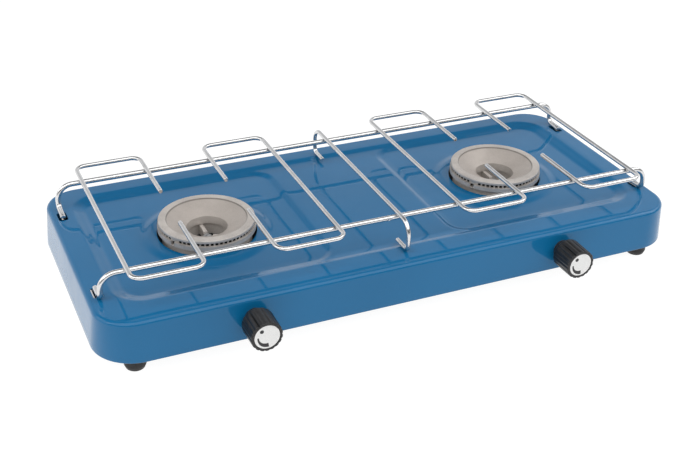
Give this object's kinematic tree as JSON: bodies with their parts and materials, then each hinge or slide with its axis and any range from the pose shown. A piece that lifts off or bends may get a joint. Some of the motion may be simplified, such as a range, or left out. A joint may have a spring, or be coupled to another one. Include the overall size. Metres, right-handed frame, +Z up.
{
  "type": "camping stove",
  "caption": "Low camping gas stove: painted tray on rubber feet, round burners with lift-off caps, a wire pan support and fluted front knobs.",
  "frame": {"origin": "on the surface that the stove stands on, under the middle of the tray", "axes": "+X along the stove to the right as the user faces it, -Y towards the user and the knobs, +Z up"},
  "size_m": [0.475, 0.263, 0.0697],
  "materials": {
    "tray_paint": "glossy blue enamel paint on steel sheet",
    "plated_wire": "bright plated steel wire with dark spot welds",
    "cast_alloy": "fine cast alloy, matt grey-beige",
    "knob_plastic": "satin black moulded plastic",
    "disc_plastic": "light grey face disc with a dark dot and arc",
    "rubber": "matt black rubber",
    "brass": "turned brass",
    "zinc_steel": "zinc-plated steel"
  },
  "bodies": {
    "base": {"burner_nuts": "zinc_steel", "burner_screws": "zinc_steel", "feed_pipe": "zinc_steel", "gas_rail": "zinc_steel", "gland_bushes": "brass", "inlet_fitting": "brass", "inlet_gasket": "rubber", "inlet_locknut": "brass", "left_burner_body": "cast_alloy", "left_burner_bridge": "zinc_steel", "left_foot_rail": "zinc_steel", "left_front_foot": "rubber", "left_injector": "brass", "left_rear_foot": "rubber", "left_tap_body": "brass", "rail_elbow": "brass", "rail_end_plug": "brass", "right_burner_body": "cast_alloy", "right_burner_bridge": "zinc_steel", "right_foot_rail": "zinc_steel", "right_front_foot": "rubber", "right_injector": "brass", "right_rear_foot": "rubber", "right_tap_body": "brass", "spindle_seals": "rubber", "tap_gaskets": "rubber", "tap_locknuts": "brass", "top_shell": "tray_paint"},
    "left_cap": {"left_burner_cap": "cast_alloy"},
    "right_cap": {"right_burner_cap": "cast_alloy"},
    "left_control": {"left_knob": "knob_plastic", "left_knob_disc": "disc_plastic", "left_spindle": "brass"},
    "right_control": {"right_knob": "knob_plastic", "right_knob_disc": "disc_plastic", "right_spindle": "brass"},
    "pan_support": {"centre_wire": "plated_wire", "front_rail": "plated_wire", "left_inner_support": "plated_wire", "left_outer_support": "plated_wire", "rear_rail": "plated_wire", "right_inner_support": "plated_wire", "right_outer_support": "plated_wire"}
  },
  "joints": [
    {"name": "left_knob_turn", "type": "hinge", "parent": "base", "child": "left_control", "pos_m": [-0.127, -0.12, 0.0282], "axis": [0, -1, 0], "range_deg": [0, 270]},
    {"name": "left_cap_lift", "type": "slide", "parent": "base", "child": "left_cap", "axis": [0, 0, 1], "range_m": [0, 0.012]},
    {"name": "right_knob_turn", "type": "hinge", "parent": "base", "child": "right_control", "pos_m": [0.127, -0.12, 0.0282], "axis": [0, -1, 0], "range_deg": [0, 270]},
    {"name": "right_cap_lift", "type": "slide", "parent": "base", "child": "right_cap", "axis": [0, 0, 1], "range_m": [0, 0.012]},
    {"name": "pan_support_lift", "type": "slide", "parent": "base", "child": "pan_support", "axis": [0, 0, 1], "range_m": [0, 0.045]}
  ]
}
